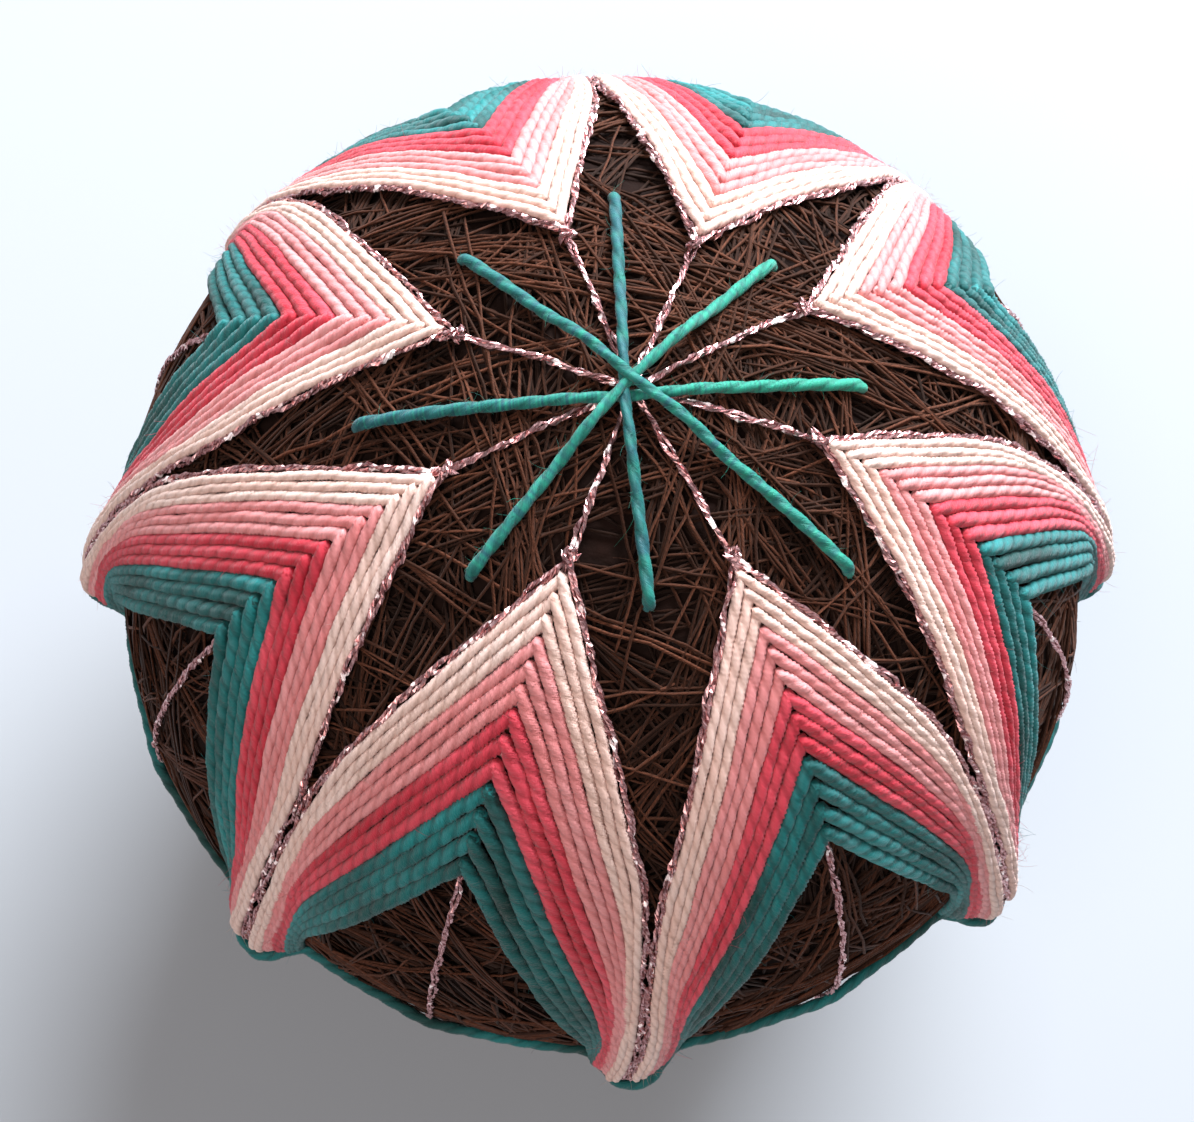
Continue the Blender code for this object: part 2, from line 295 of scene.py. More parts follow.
def wrapMaterial():
    material, tree, shader = newMaterial("brownWrapThread")
    look = wrapLook
    twist = addNode(tree, "ShaderNodeGroup", look["twist"], node_tree=twistGroup).outputs
    # Tone picks the colour; the layers' tone ranges make lower threads darker, as painted shade under the
    # upper ones.
    tone = math2(tree, "POWER", twist["Tone"], look["tonePower"])
    colour = mixColour(tree, tone, look["dark"], look["light"])
    # Painted shade: darker between the fibres of the thread.
    fibreShade = remap(tree, twist["Fibre"], *look["fibreRange"], look["shadeBetweenFibres"], 0.0)
    feed(tree, shader, {
        "Base Color": mixColour(tree, fibreShade, colour, look["deep"]),
        "Normal": addBump(tree, twist["Fibre"], *look["bump"]),
        **look["finish"],
    })
    return material


# The ball under the thread: near black with a random grain, painted shade of the wound thread deep under the
# bunches.
coreShadeLook = {
    "dark": (0.003, 0.0015, 0.001, 1),
    "light": (0.016, 0.006, 0.004, 1),
    "grainScale": 900.0,
    "bump": (0.0003, 1.0),
    "finish": {"Roughness": 0.9, "Specular IOR Level": 0.1},
}


def shadeCoreMaterial():
    material, tree, shader = newMaterial("paintedShadeWrapBelow")
    look = coreShadeLook
    place = addNode(tree, "ShaderNodeTexCoord").outputs["Object"]
    grain = noise(tree, place, look["grainScale"], 4.0)
    feed(tree, shader, {
        "Base Color": mixColour(tree, grain, look["dark"], look["light"]),
        "Normal": addBump(tree, grain, *look["bump"]),
        **look["finish"],
    })
    return material


materials = {name: cottonMaterial(name) for name in cottonShades}
materials["roseMetallic"] = metallicMaterial()
materials["brownWrap"] = wrapMaterial()
materials["brownCore"] = shadeCoreMaterial()
print("materials made")


# Places on the ball
def onBall(longitude, colatitude, height):
    lon, col = np.radians(longitude), np.radians(colatitude)
    out = np.stack([np.sin(col) * np.cos(lon), np.sin(col) * np.sin(lon), np.cos(col) + 0 * lon], axis=-1)
    return out * (ball["radius"] + np.asarray(height))[..., None]


def byOuterPoint(longitude, along, sideways, height):
    lon, s, y = math.radians(longitude), np.radians(along), np.radians(sideways)
    out = np.stack([math.cos(lon) * np.cos(s), math.sin(lon) * np.cos(s), np.sin(s)], axis=-1)
    side = np.array([-math.sin(lon), math.cos(lon), 0])
    return (out * np.cos(y)[:, None] + side * np.sin(y)[:, None]) * (ball["radius"] + height)[:, None]


def smoothStep(x):
    x = np.clip(x, 0, 1)
    return x * x * (3 - 2 * x)


def wander(along, size, length):
    # A slow random sway, the same each run.
    total = np.zeros_like(along)
    for share in (1.0, 0.6, 0.35):
        total += share * np.sin(along * math.tau * share ** -1.3 / length + draws.uniform(0, math.tau))
    return total * size / 2


def evenly(points, spacing):
    steps = np.linalg.norm(np.diff(points[:, :3], axis=0), axis=1)
    along = np.concatenate([[0], np.cumsum(steps)])
    count = max(int(along[-1] / spacing), 5) + 1
    want = np.linspace(0, along[-1], count)
    return np.stack([np.interp(want, along, column) for column in points.T], axis=1), want


def directions(path):
    # Outwards from the ball and across the thread, at each point of its path.
    out = path[:, :3] / np.linalg.norm(path[:, :3], axis=1)[:, None]
    ahead = np.gradient(path[:, :3], axis=0)
    across = np.cross(ahead / np.linalg.norm(ahead, axis=1)[:, None], out)
    return out, across


# A thread is a curve with a bevel of its cross section, turned along its length by the twist of its plies.
# Its path has x, y and z, and may have a fourth number that its radius is multiplied by.
def strand(path, radius=1.0, spacing=0.32, turn=None, tone=None, endLength=0.25, ring=False):
    path, along = evenly(path, spacing)
    turn = turn or ball["plyTurn"] * draws.uniform(0.94, 1.06)
    size = radius * path[:, 3] if path.shape[1] > 3 else np.full(len(path), radius)
    if not ring:
        nearEnd = np.minimum(along, along[-1] - along) / endLength
        size = size * np.sqrt(np.clip(1 - (1 - np.clip(nearEnd, 0, 1)) ** 2, 0, 1))
    return {
        "points": path[:, :3],
        "size": size,
        "along": along,
        "turn": -along / turn + draws.uniform(0, 1),
        "tone": draws.uniform(0, 1) if tone is None else tone,
        "ring": ring,
    }


def sideBySide(path, gap, period):
    # Two loose strands that run together and turn slowly about each other.
    path, along = evenly(path, 0.3)
    out, across = directions(path)
    angle = along / period * math.tau + wander(along, 2.4, 6.0) + draws.uniform(0, math.tau)
    pair = []
    for side in (-1, 1):
        reach = side * gap / 2 * (1 + wander(along, 0.5, 3.5))
        shift = across * (reach * np.cos(angle))[:, None] + out * (0.7 * reach * np.sin(angle))[:, None]
        pair.append(path[:, :3] + shift + across * wander(along, 0.1, 5.0)[:, None])
    return pair


def sectionProfile(name, sides, waist):
    curve = bpy.data.curves.new(name, "CURVE")
    curve.dimensions = "2D"
    line = curve.splines.new("POLY")
    line.points.add(sides - 1)
    for k in range(sides):
        angle = -math.tau * k / sides
        reach = waist + (1 - waist) * abs(math.cos(angle))
        line.points[k].co = (0.001 * reach * math.cos(angle), 0.001 * reach * math.sin(angle), 0, 1)
    line.use_cyclic_u = True
    obj = bpy.data.objects.new(name, curve)
    bpy.context.scene.collection.objects.link(obj)
    return obj


# Fine hairs that stand off the threads, each bent once.
hair = {
    "length": (0.3, 1.1),
    "radius": 0.014,
    "points": 5,
    "lean": 1.1,  # radians to either side
    "rise": (0.2, 0.8),
    "ahead": 0.7,
    "aside": 0.4,
    "bend": 0.5,
    "rooted": 0.9,  # how far out in its thread it starts
    "taper": 0.6,
    "tone": (0.6, 1.0),
}


def fuzz(strands, count):
    hairs = []
    for pick in draws.integers(0, len(strands), count):
        one = strands[pick]
        k = draws.integers(1, len(one["points"]) - 1)
        base = one["points"][k]
        out = base / np.linalg.norm(base)
        ahead = one["points"][k + 1] - one["points"][k - 1]
        ahead /= np.linalg.norm(ahead)
        across = np.cross(ahead, out)
        lean = draws.uniform(-hair["lean"], hair["lean"])
        away = out * math.cos(lean) + across * math.sin(lean)
        grow = away * draws.uniform(*hair["rise"]) + ahead * draws.normal(0, hair["ahead"])
        grow = grow + across * draws.normal(0, hair["aside"])
        bend = np.cross(grow, draws.normal(size=3))
        reach = draws.uniform(*hair["length"])
        t = np.linspace(0, 1, hair["points"])[:, None]
        path = base + away * one["size"][k] * hair["rooted"] + reach * (grow * t + bend * hair["bend"] * t**2)
        path[:, 2] = np.maximum(path[:, 2], hair["radius"] - footDepth)
        hairs.append({
            "points": path,
            "size": np.full(hair["points"], hair["radius"]) * (1 - hair["taper"] * t[:, 0]),
            "along": t[:, 0] * reach,
            "turn": np.zeros(hair["points"]),
            "tone": draws.uniform(*hair["tone"]),
            "ring": False,
        })
    return hairs


def makeThreads(name, strands, material, nodes=(), sides=8, waist=0.7, crinkle=0.0, flat=False):
    section = sectionProfile(name + "Section", sides, waist)
    curve = bpy.data.curves.new(name, "CURVE")
    curve.dimensions = "3D"
    curve.bevel_mode = "OBJECT"
    curve.bevel_object = section
    for one in strands:
        count = len(one["points"])
        line = curve.splines.new("POLY")
        line.points.add(count - 1)
        places = np.ones((count, 4), np.float32)
        places[:, :3] = (one["points"] + [0, 0, footDepth]) * 0.001
        line.points.foreach_set("co", places.ravel())
        line.points.foreach_set("radius", one["size"].astype(np.float32))
        if waist < 1:
            line.points.foreach_set("tilt", (one["turn"] * math.tau).astype(np.float32))
        line.use_cyclic_u = one["ring"]
    helper = bpy.data.objects.new(name + "Curve", curve)
    bpy.context.scene.collection.objects.link(helper)
    graph = bpy.context.evaluated_depsgraph_get()
    mesh = bpy.data.meshes.new_from_object(helper.evaluated_get(graph))
    mesh.name = name
    labelThreads(mesh, strands, sides)
    bm = bmesh.new()
    bm.from_mesh(mesh)
    bmesh.ops.remove_doubles(bm, verts=bm.verts, dist=2e-6)
    bm.to_mesh(mesh)
    bm.free()
    if crinkle:
        places = np.empty(len(mesh.vertices) * 3, np.float32)
        mesh.vertices.foreach_get("co", places)
        places += draws.normal(0, crinkle * 0.001, len(places)).astype(np.float32)
        mesh.vertices.foreach_set("co", places)
    for old in (helper, section):
        data = old.data
        bpy.data.objects.remove(old)
        bpy.data.curves.remove(data)
    addPiece(name, mesh, material, nodes, flat)


def labelThreads(mesh, strands, sides):
    # Length along and turn of each section, and the tone of each thread, for the materials.
    along = np.concatenate([np.repeat(one["along"] / 100, sides) for one in strands])
    turn = np.concatenate([np.repeat(one["turn"], sides) for one in strands])
    tones = [np.broadcast_to(one["tone"], len(one["points"])) for one in strands]
    tone = np.concatenate([np.repeat(values, sides) for values in tones])
    for label, values in (("turn", turn), ("tone", tone)):
        mesh.attributes.new(label, "FLOAT", "POINT").data.foreach_set("value", values.astype(np.float32))
    corners = np.empty(len(mesh.loops), np.int32)
    mesh.loops.foreach_get("vertex_index", corners)
    layer = mesh.uv_layers[0]
    layer.name = "thread"
    places = np.empty(len(mesh.loops) * 2, np.float32)
    layer.data.foreach_get("uv", places)
    places[0::2] = along[corners]
    layer.data.foreach_set("uv", places)


def addPiece(name, mesh, material, nodes=(), flat=False):
    mesh.materials.clear()
    mesh.materials.append(material)
    if flat:
        mesh.shade_flat()
    else:
        mesh.shade_smooth()
    piece = bpy.data.objects.new(name, mesh)
    bpy.context.scene.collection.objects.link(piece)
    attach(piece, "root")
    if nodes:
        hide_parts(*nodes)
    print(name, "made with", sum(len(face.vertices) - 2 for face in mesh.polygons), "triangles")


# The flower: fourteen rows that zigzag between inner points on the marker lines and outer points on the
# equator.
flower = {
    "rows": 14,
    "threadHeight": 0.45,  # from the ball to a thread's middle
    "fill": 0.6,  # a thread's radius as a share of the distance between its neighbours' middles
    "thinnest": 0.34,
    "thickest": 0.56,
    "spineLift": {"start": 0.36, "end": 0.15},
    "spineLength": 0.1,
    "taper": {"length": 0.7, "share": 0.45},  # how a row's first end thins
    "sway": {"size": 0.07, "across": 11.0, "out": 9.0},  # its lengths across the row and outwards
    "closing": {"first": 0.2, "gain": 0.18, "power": 1.7, "softness": 0.45, "looser": 0.5},
    "bundle": {"foot": 0.15, "reach": 16.0, "fade": 1.3, "leanLength": 7.0},
    # Where each row lies on the bundle at an outer point: degrees to the side, share of the bundle's height,
    # how far past the outer point it turns, how far its bend reaches on from there, and how much of its
    # height it loses in it. The first rows go down over the end, and the pink rows dive under them before it.
    "tipRows": (0.0, 0.5, 1.5, 2.5, 3.5, 4.5, 5.5, 6.5, 7.5, 8.5, 9.5, 10.5, 11.5, 12.5, 13.5, 14.0),
    "tipAside": (0.1, 0.25, 1.1, 1.8, 1.7, 2.1, 2.5, 2.85, 3.1, 3.4, 3.7, 4.0, 4.25, 4.5, 4.7, 4.8),
    "tipHeight": (0.97, 0.97, 1.0, 0.95, 0.84, 0.82, 0.78, 0.72, 0.66, 0.58, 0.5, 0.4, 0.28, 0.16, 0.04, 0.0),
    "tipEnd": (1.2, 1.2, 1.2, 1.2, 1.0, 0.6, -0.8, -1.6, -1.6, -1.2, -0.8, 0.2, 0.5, 0.8, 1.0, 1.2),
    "tipPast": (1.8, 1.8, 1.7, 1.6, 1.1, 0.2, 0.2, 0.3, 0.5, 0.6, 0.8, 1.2, 1.3, 1.4, 1.5, 1.5),
    "tipDrop": (0.95, 0.95, 0.95, 0.95, 0.7, 0.5, 0.5, 0.5, 0.5, 0.4, 0.3, 0, 0, 0, 0, 0),
    "outerPoints": (
        {"longitude": -2.2, "lean": 0.5, "crest": 3.5},
        {"longitude": 45.0, "lean": -0.7, "crest": 3.2},
        {"longitude": 90.0, "lean": 0.4, "crest": 3.2},
        {"longitude": 135.0, "lean": -0.5, "crest": 3.5},
        {"longitude": 178.0, "lean": 0.3, "crest": 3.2},
        {"longitude": 225.0, "lean": -0.6, "crest": 2.2},
        {"longitude": 270.0, "lean": -1.0, "crest": 2.0},
        {"longitude": 315.0, "lean": 0.6, "crest": 3.0},
    ),
    "innerPoints": (
        {"longitude": 22.5, "stray": 2.9, "first": 18.5, "last": 50.6},
        {"longitude": 67.5, "stray": -2.5, "first": 15.8, "last": 50.6},
        {"longitude": 112.5, "stray": -4.5, "first": 16.7, "last": 50.6},
        {"longitude": 158.4, "stray": 0.3, "first": 17.2, "last": 50.2},
        {"longitude": 202.3, "stray": -0.4, "first": 18.9, "last": 51.0},
        {"longitude": 246.6, "stray": 0.3, "first": 17.2, "last": 52.4},
        {"longitude": 293.4, "stray": 2.4, "first": 18.2, "last": 50.4},
        {"longitude": 336.8, "stray": 5.2, "first": 17.4, "last": 49.8},
    ),
}


def innerPoint(point, row):
    part = row / flower["rows"]
    colatitude = point["first"] + (point["last"] - point["first"]) * (0.72 * part + 0.28 * part**2)
    return point["longitude"] + point["stray"] * (1 - part), colatitude


def atTip(row, what):
    return np.interp(row, flower["tipRows"], flower[what])


def rowPath(tip, side, row, t):
    inner = flower["innerPoints"][tip if side > 0 else tip - 1]
    longitude, colatitude = (math.radians(angle) for angle in innerPoint(inner, row))
    step = longitude - math.radians(flower["outerPoints"][tip]["longitude"])
    widest = math.degrees(math.asin(math.sin(colatitude) * abs(math.sin(step))))
    start = math.degrees(math.atan2(math.cos(colatitude), math.sin(colatitude) * math.cos(step)))
    closing = flower["closing"]
    along = start * (1 - t) - atTip(row, "tipEnd") * t**2
    narrowest = atTip(row, "tipAside")
    slope = closing["first"] + closing["gain"] * (row / flower["rows"]) ** closing["power"]
    softness = closing["softness"] + closing["looser"] * row / flower["rows"]
    excess = (widest - narrowest - slope * (start - along)) / softness
    return along, narrowest + softness * np.log1p(np.exp(excess))


def rowPlace(tip, side, row, t, lift=0.0):
    # From the inner point at t = 0 to the outer point at 1, and round the end of the bundle to its middle
    # at 2.
    bundle, outer = flower["bundle"], flower["outerPoints"][tip]
    along, spread = rowPath(tip, side, row, np.minimum(t, 1))
    bend = np.maximum(t - 1, 0)
    other = rowPath(tip, -side, row, np.ones(1))[1][0]
    spread = spread + bend * (other - spread) / 2
    turned = np.radians(90 * bend)
    piled = np.exp(-((np.abs(along) / bundle["reach"]) ** bundle["fade"]))
    share = atTip(row, "tipHeight")
    crest = outer["crest"] * share * (1 - atTip(row, "tipDrop") * (1 - np.cos(turned)))
    height = flower["threadHeight"] + piled * (crest - bundle["foot"]) + lift
    lean = outer["lean"] * share * np.exp(-((along / bundle["leanLength"]) ** 2))
    sideways = side * spread * np.cos(turned) + lean
    return byOuterPoint(outer["longitude"], along - atTip(row, "tipPast") * np.sin(turned), sideways, height)


def rowLeg(tip, side, row, t, startLift):
    # Its places, and its radius, which follows the room that its neighbours leave it.
    lift = startLift * smoothStep(1 - t / flower["spineLength"])
    places = rowPlace(tip, side, row, t, lift)
    ahead = np.gradient(places, axis=0)
    ahead /= np.linalg.norm(ahead, axis=1)[:, None]
    room = rowPlace(tip, side, min(row + 0.5, flower["rows"]), t) - rowPlace(tip, side, max(row - 0.5, 0), t)
    room = np.linalg.norm(room - ahead * (room * ahead).sum(axis=1)[:, None], axis=1)
    radius = np.clip(flower["fill"] * room, flower["thinnest"], flower["thickest"])
    return np.concatenate([places, radius[:, None]], axis=1)


def rowCourse(tip, row, sway=flower["sway"]["size"], overTop=0.5, overEnd=0.5):
    # Down one leg, round the outer point and up the other. Its start lies over the end of its neighbour.
    t = np.concatenate([np.linspace(0, 1, 200), np.linspace(1.02, 2, 50)])
    down = rowLeg(tip, -1, row, t, flower["spineLift"]["start"])
    up = rowLeg(tip, 1, row, t, flower["spineLift"]["end"])[::-1]
    path = np.concatenate([down, up[1:]])
    before, after = path[0].copy(), path[-1].copy()
    before[:3] += (path[0] - path[2])[:3] / np.linalg.norm((path[0] - path[2])[:3]) * overTop
    after[:3] += (path[-1] - path[-3])[:3] / np.linalg.norm((path[-1] - path[-3])[:3]) * overEnd
    path, along = evenly(np.concatenate([[before], path, [after]]), 0.25)
    out, across = directions(path)
    toSide = wander(along, sway, flower["sway"]["across"])
    outwards = wander(along, sway, flower["sway"]["out"])
    path[:, :3] += across * toSide[:, None] + out * outwards[:, None]
    path[:, 3] *= 1 - flower["taper"]["share"] * np.exp(-along / flower["taper"]["length"])
    return path


rowColours = (
    ("creamRows", "cream_rows", "cream", "cream_pearl_cotton", 1, 4),
    ("lightPinkRows", "light_pink_rows", "lightPink", "light_pink_pearl_cotton", 4, 7),
    ("deepPinkRows", "deep_pink_rows", "deepPink", "deep_pink_pearl_cotton", 7, 10),
    ("tealRows", "teal_rows", "teal", "teal_pearl_cotton", 10, 14),
)
for pieceName, nodeName, shade, slotName, first, last in rowColours:
    strands = [strand(rowCourse(tip, row + 0.5)) for tip in range(8) for row in range(first, last)]
    makeThreads(pieceName, strands, materials[shade], (nodeName,), waist=0.9)
    makeThreads(shade + "Fuzz", fuzz(strands, 700), materials[shade], sides=3, waist=1.0)


# The metallic row inside them, of two crinkled strands side by side, with a small loose loop at each inner
# point.
metallic = {
    "row": 0.62,
    "radius": 0.155,
    "gap": 0.27,
    "period": 9.0,
    "spacing": 0.4,
    "turn": 2.2,
    "sway": 0.12,
    "crinkle": 0.028,
    "loop": {"row": 0.3, "height": 0.75, "radius": 0.4, "turns": 1.6, "thread": 0.13, "rise": 0.03},
}


def metallicLoop(point):
    loop = metallic["loop"]
    longitude, colatitude = innerPoint(point, loop["row"])
    middle = onBall(longitude, np.array([colatitude]), np.array([loop["height"]]))[0]
    out = middle / np.linalg.norm(middle)
    first = np.cross(out, draws.normal(size=3))
    first /= np.linalg.norm(first)
    second = np.cross(out, first) * 0.7 + out * 0.5
    angle = np.linspace(0, loop["turns"] * math.tau, 40)
    reach = loop["radius"] * (1 + wander(angle, 0.3, 4.0))[:, None]
    ring = first * np.cos(angle)[:, None] + second * np.sin(angle)[:, None]
    return middle + reach * ring + out * angle[:, None] * loop["rise"]


metallicStrands = []
for tip in range(8):
    course = rowCourse(tip, metallic["row"], metallic["sway"], overTop=0.8, overEnd=0.9)[:, :3]
    metallicStrands += [strand(path, metallic["radius"], metallic["spacing"], metallic["turn"], endLength=0.4)
                        for path in sideBySide(course, metallic["gap"], metallic["period"])]
for point in flower["innerPoints"]:
    metallicStrands.append(strand(metallicLoop(point), metallic["loop"]["thread"], 0.2, metallic["turn"]))
makeThreads("metallicRow", metallicStrands, materials["roseMetallic"],
            ("metallic_row",), sides=6, waist=0.7, crinkle=metallic["crinkle"], flat=True)


# Marker lines of the same metallic thread, from the pole down to the underside, pressed down under the rows.
marker = {
    "radius": 0.145,
    "gap": 0.25,
    "period": 8.0,
    "turn": 1.4,
    "crinkle": 0.025,
    "height": 0.3,
    "pressed": 0.3,
    "start": 0.5,
    "end": 160.0,
    "strayEnds": 50.0,
    "strayLength": 33.0,
    "spacing": 0.42,
    "cross": (-0.36, -0.87),  # where they meet, in degrees from the pole
}


def markerCourse(point):
    colatitude = np.linspace(marker["start"], marker["end"], 600)
    stray = point["stray"] * np.clip((marker["strayEnds"] - colatitude) / marker["strayLength"], 0, 1)
    afterFirst = smoothStep((colatitude - point["first"] - 0.5) / 2)
    afterLast = smoothStep((colatitude - point["last"] + 1.5) / 2)
    angle = np.radians(point["longitude"] + stray)
    aside = np.clip(1 - colatitude / point["first"], 0, 1)
    x = colatitude * np.cos(angle) + aside * marker["cross"][0]
    y = colatitude * np.sin(angle) + aside * marker["cross"][1]
    height = marker["height"] - marker["pressed"] * (afterFirst * (1 - afterLast))
    return onBall(np.degrees(np.arctan2(y, x)), np.hypot(x, y), height)


markerStrands = []
for point in flower["innerPoints"]:
    markerStrands += [strand(path, marker["radius"], marker["spacing"], marker["turn"])
                      for path in sideBySide(markerCourse(point), marker["gap"], marker["period"])]
makeThreads("markerLines", markerStrands, materials["roseMetallic"],
            ("marker_lines",), sides=5, waist=0.7, crinkle=marker["crinkle"], flat=True)


# The star: four straight stitches that cross at the pole, each laid over the one before.
star = {
    "radius": 0.41,
    "turn": 4.0,
    "thinner": {"share": 0.15, "reach": 7.0},  # near the pole
    "height": 0.44,
    "overMarkers": 0.45,
    "layer": 0.24,
    "raised": {"reach": 7.5, "slope": 4.5},
    "sunkEnd": {"depth": 0.75, "length": 1.1},
    "softBend": 0.003,
    # Each stitch by its ends, the place near the pole where it crosses the others, and its tones.
    "stitches": (
        {"a": (28.4, 181.7), "b": (24.1, 1.6), "cross": (-1.0, -2.0), "tones": (-0.4, 1.4)},
        {"a": (23.4, 90.7), "b": (22.1, 270.7), "cross": (-1.2, -2.0), "tones": (-0.2, 0.0)},
        {"a": (21.3, 42.4), "b": (24.8, 226.1), "cross": (-1.0, -0.8), "tones": (1.0, 0.2)},
        {"a": (23.6, 135.1), "b": (28.4, 318.6), "cross": (-0.1, -0.8), "tones": (-0.1, 0.6)},
    ),
}


def starStrand(layer, stitch):
    a, b = (np.array([col * math.cos(math.radians(lon)), col * math.sin(math.radians(lon))])
            for col, lon in (stitch["a"], stitch["b"]))
    cross = np.array(stitch["cross"])
    part = np.linspace(0, 1, 400)
    middle = (cross - a) @ (b - a) / ((b - a) @ (b - a))
    away = (part - middle) / np.where(part < middle, middle, 1 - middle)
    bent = 1 - np.sqrt(away**2 + star["softBend"])
    flat = a + (b - a) * part[:, None] + (cross - a - (b - a) * middle) * bent[:, None]
    distance = np.linalg.norm(flat, axis=1)
    fromPole = np.radians(distance) * ball["radius"]
    raised = smoothStep((star["raised"]["reach"] - fromPole) / star["raised"]["slope"])
    height = star["height"] + raised * (star["overMarkers"] + star["layer"] * layer)
    nearEnd = np.minimum(part, 1 - part) * np.radians(np.linalg.norm(b - a)) * ball["radius"]
    height = height - star["sunkEnd"]["depth"] * (1 - smoothStep(nearEnd / star["sunkEnd"]["length"]))
    path = onBall(np.degrees(np.arctan2(flat[:, 1], flat[:, 0])), distance, height)
    thickness = 1 - star["thinner"]["share"] * np.exp(-((fromPole / star["thinner"]["reach"]) ** 2))
    path = np.concatenate([path, thickness[:, None]], axis=1)
    made = strand(path, star["radius"], spacing=0.25, turn=star["turn"], endLength=0.5)
    made["tone"] = np.linspace(*stitch["tones"], len(made["along"]))
    return made


starStrands = [starStrand(layer, stitch) for layer, stitch in enumerate(star["stitches"])]
makeThreads("poleStar", starStrands, materials["emerald"], ("pole_star",), sides=12,
            waist=0.8)
makeThreads("starFuzz", fuzz(starStrands, 260), materials["emerald"], sides=3, waist=1.0)


# The thread round the middle: it dips below each outer point and round the end of its bundle, and passes over
# the marker lines.
equator = {
    "radius": 0.43,
    "turn": 3.2,
    "height": 0.3,
    "dip": 3.5,
    "dipWidth": 4.7,
    "crestShare": 0.75,
    "pastCrest": 0.95,
    "tipWidth": 3.6,
    "overMarker": 0.35,
    "liftWidth": 4.0,
}


def equatorStrand():
    longitudes, downs, lifts = [], [], []
    outer = [point["longitude"] for point in flower["outerPoints"]]
    for tip, longitude in enumerate(outer):
        line = flower["innerPoints"][tip]["longitude"] - longitude
        span = (outer[(tip + 1) % 8] - longitude) % 360
        offset = np.linspace(0, span, 120, endpoint=False)
        aside = np.minimum(offset, span - offset)
        downs.append(equator["dip"] * np.exp(-((aside / equator["dipWidth"]) ** 2)))
        overMarker = equator["overMarker"] * np.exp(-(((offset - line) / equator["liftWidth"]) ** 2))
        crests = [flower["outerPoints"][k % 8]["crest"] * equator["crestShare"] for k in (tip, tip + 1)]
        crest = np.where(offset < span / 2, *crests) + equator["pastCrest"]
        lifts.append(overMarker + crest * np.exp(-((aside / equator["tipWidth"]) ** 3)))
        longitudes.append(longitude + offset)
    height = equator["height"] + np.concatenate(lifts)
    path = onBall(np.concatenate(longitudes), 90 + np.concatenate(downs), height)
    return strand(path, equator["radius"], spacing=0.28, turn=equator["turn"], ring=True)


makeThreads("equatorThread", [equatorStrand()], materials["teal"], ("equator_thread",),
            sides=10, waist=0.8)


# The wound ball: a near-black ball below, its colour painted shade of the thread deep under the bunches, and
# fine sewing thread in bunches that cross in every direction.
wrap = {
    "threadRadius": 0.12,
    "coreRadius": 34.45,
    "layers": (
        # Each thread's tone is random within its layer's range, and the lower layers have darker ranges:
        # painted shade under the layers above.
        {"name": "wrapBelow", "bunches": 490, "low": -0.46, "high": -0.24, "tone": (0.0, 0.4)},
        {"name": "wrapMiddle", "bunches": 490, "low": -0.24, "high": -0.02, "tone": (0.1, 0.75)},
        {"name": "wrapAbove", "bunches": 490, "low": -0.05, "high": 0.14, "tone": (0.3, 1.0)},
    ),
    "threads": (3, 7),
    "arc": (14, 65),
    "pitch": (0.22, 0.42),
    "askew": 3.0,
    "sway": 0.011,
    "swayLength": 0.4,
    "spacing": 2.3,
    "hiddenMargin": 1.5,
    "bunchAside": 5.0,
    "uneven": 0.04,
    "turn": 0.9,
    "sunkEnd": {"depth": 0.6, "length": 0.1},  # a length in radians
}


def makeCore():
    bm = bmesh.new()
    bmesh.ops.create_icosphere(bm, subdivisions=5, radius=wrap["coreRadius"] * 0.001)
    bmesh.ops.translate(bm, verts=bm.verts, vec=(0, 0, footDepth * 0.001))
    everything = bm.verts[:] + bm.edges[:] + bm.faces[:]
    bmesh.ops.bisect_plane(bm, geom=everything, plane_co=(0, 0, 0), plane_no=(0, 0, -1), clear_outer=True)
    bmesh.ops.holes_fill(bm, edges=bm.edges)
    mesh = bpy.data.meshes.new("threadBall")
    bm.to_mesh(mesh)
    bm.free()
    addPiece("threadBall", mesh, materials["brownCore"], ("thread_ball",))


def rowBorders():
    # The inner and the outer edge of the rows on each side of each outer point, as places along and to the
    # side.
    borders = []
    t = np.linspace(1, 0, 40)
    for tip in range(8):
        for side in (-1, 1):
            first = np.stack(rowPath(tip, side, 0, t))
            last = np.stack(rowPath(tip, side, flower["rows"], t))
            spine = [np.ravel(rowPath(tip, side, row, np.zeros(1)))
                     for row in np.linspace(flower["rows"], 0, flower["rows"] + 1)]
            borders.append((tip, side, first, np.concatenate([last, np.stack(spine, axis=1)], axis=1)))
    return borders


borders = rowBorders()


def underRows(places):
    # Whether each place lies under the rows of the flower.
    out = places / np.linalg.norm(places, axis=1)[:, None]
    hidden = np.zeros(len(out), bool)
    for tip, side, first, last in borders:
        lon = math.radians(flower["outerPoints"][tip]["longitude"])
        sideways = side * np.degrees(np.arcsin(np.clip(out @ [-math.sin(lon), math.cos(lon), 0], -1, 1)))
        along = np.degrees(np.arctan2(out[:, 2], out @ [math.cos(lon), math.sin(lon), 0]))
        near = np.interp(along, *first, left=99, right=99) + wrap["hiddenMargin"]
        far = np.interp(along, *last, left=-99, right=-99) - wrap["hiddenMargin"] / 2
        hidden |= (sideways > near) & (sideways < far)
    return hidden


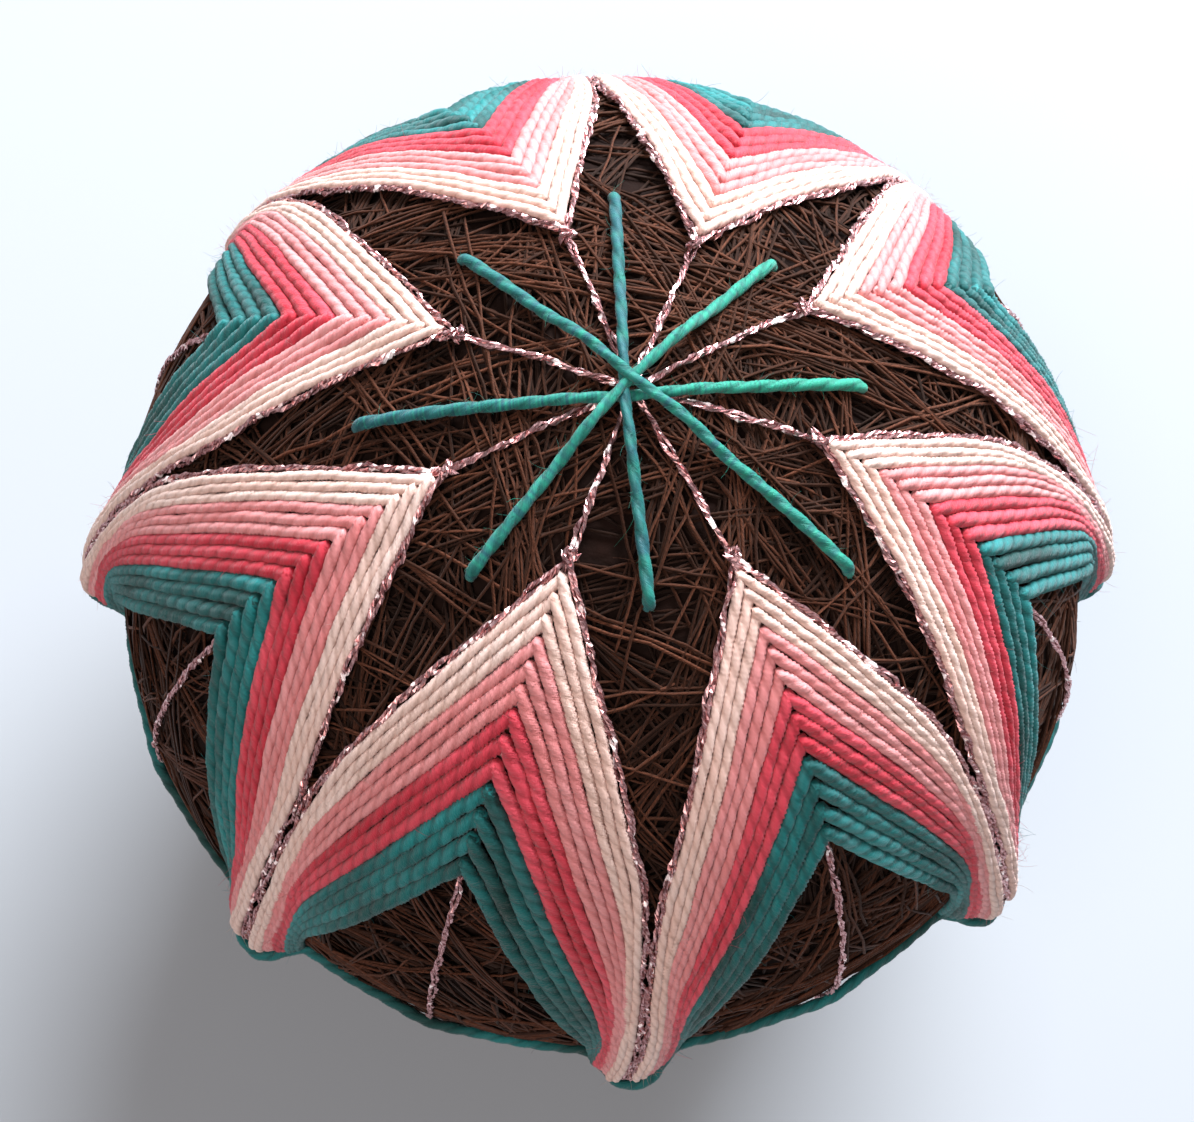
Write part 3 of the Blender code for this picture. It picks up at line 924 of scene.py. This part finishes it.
def wrapStrands(layer):
    strands = []
    for _ in range(layer["bunches"]):
        pole = draws.normal(size=3)
        pole /= np.linalg.norm(pole)
        first = np.cross(pole, draws.normal(size=3))
        first /= np.linalg.norm(first)
        second = np.cross(pole, first)
        aside = draws.uniform(-wrap["bunchAside"], wrap["bunchAside"])
        height = draws.uniform(layer["low"], layer["high"])
        for _ in range(draws.integers(*wrap["threads"])):
            arc = math.radians(draws.uniform(*wrap["arc"]))
            angle = draws.uniform(-0.2, 0.2) - arc / 2 + np.linspace(0, arc, int(arc * ball["radius"]) + 3)
            aside += draws.uniform(*wrap["pitch"])
            askew = math.radians(draws.normal(0, wrap["askew"]))
            sway = wander(angle, wrap["sway"], wrap["swayLength"])
            off = aside / ball["radius"] + askew * np.sin(angle) + sway
            out = (first * np.cos(angle)[:, None] + second * np.sin(angle)[:, None]) * np.cos(off)[:, None]
            out += pole * np.sin(off)[:, None]
            nearEnd = np.minimum(angle - angle[0], angle[-1] - angle) / wrap["sunkEnd"]["length"]
            sunk = (1 - smoothStep(nearEnd)) * wrap["sunkEnd"]["depth"]
            raised = height + draws.uniform(-wrap["uneven"], wrap["uneven"])
            path = out * (ball["radius"] + raised - sunk)[:, None]
            path[:, 2] = np.maximum(path[:, 2], wrap["threadRadius"] - footDepth)
            if not underRows(path[::4]).all():
                tone = draws.uniform(*layer["tone"])
                strands.append(strand(path, wrap["threadRadius"], wrap["spacing"], wrap["turn"], tone))
    return strands


makeCore()
for layer in wrap["layers"]:
    strands = wrapStrands(layer)
    makeThreads(layer["name"], strands, materials["brownWrap"], sides=3, waist=1.0)
makeThreads("wrapFuzz", fuzz(strands, 700), materials["brownWrap"], sides=3, waist=1.0)


# Studio: a pale floor, soft light from above and behind, and a weak fill.
studio = {
    "floor": {"Base Color": (0.31, 0.32, 0.34, 1), "Roughness": 0.9},
    "floorReach": 2.0,
    "aim": (0, 0, 0.035),
    "background": {"Color": (0.9, 0.94, 1.0, 1), "Strength": 0.3},
    "lights": (
        {"name": "windowLight", "place": (0.28, 0.55, 0.5), "size": 0.5, "power": 26.0,
         "colour": (0.88, 0.94, 1.0)},
        {"name": "fillLight", "place": (-0.3, -0.35, 0.7), "size": 0.6, "power": 4.5,
         "colour": (1.0, 0.92, 0.87)},
    ),
}


def makeStudio():
    bm = bmesh.new()
    bmesh.ops.create_grid(bm, x_segments=1, y_segments=1, size=studio["floorReach"])
    mesh = bpy.data.meshes.new("floor")
    bm.to_mesh(mesh)
    bm.free()
    material, tree, shader = newMaterial("paleFloor")
    feed(tree, shader, studio["floor"])
    mesh.materials.append(material)
    floor = bpy.data.objects.new("floor", mesh)
    bpy.context.scene.collection.objects.link(floor)
    for one in studio["lights"]:
        data = bpy.data.lights.new(one["name"], "AREA")
        data.size = one["size"]
        data.energy = one["power"]
        data.color = one["colour"]
        lamp = bpy.data.objects.new(one["name"], data)
        place = Vector(one["place"])
        lamp.location = place
        lamp.rotation_euler = (place - Vector(studio["aim"])).to_track_quat("Z", "Y").to_euler()
        bpy.context.scene.collection.objects.link(lamp)
    world = bpy.data.worlds.new("studio")
    world.use_nodes = True
    feed(world.node_tree, world.node_tree.nodes["Background"], studio["background"])
    bpy.context.scene.world = world
    bpy.context.scene.view_settings.view_transform = "Standard"


makeStudio()
print("studio made")
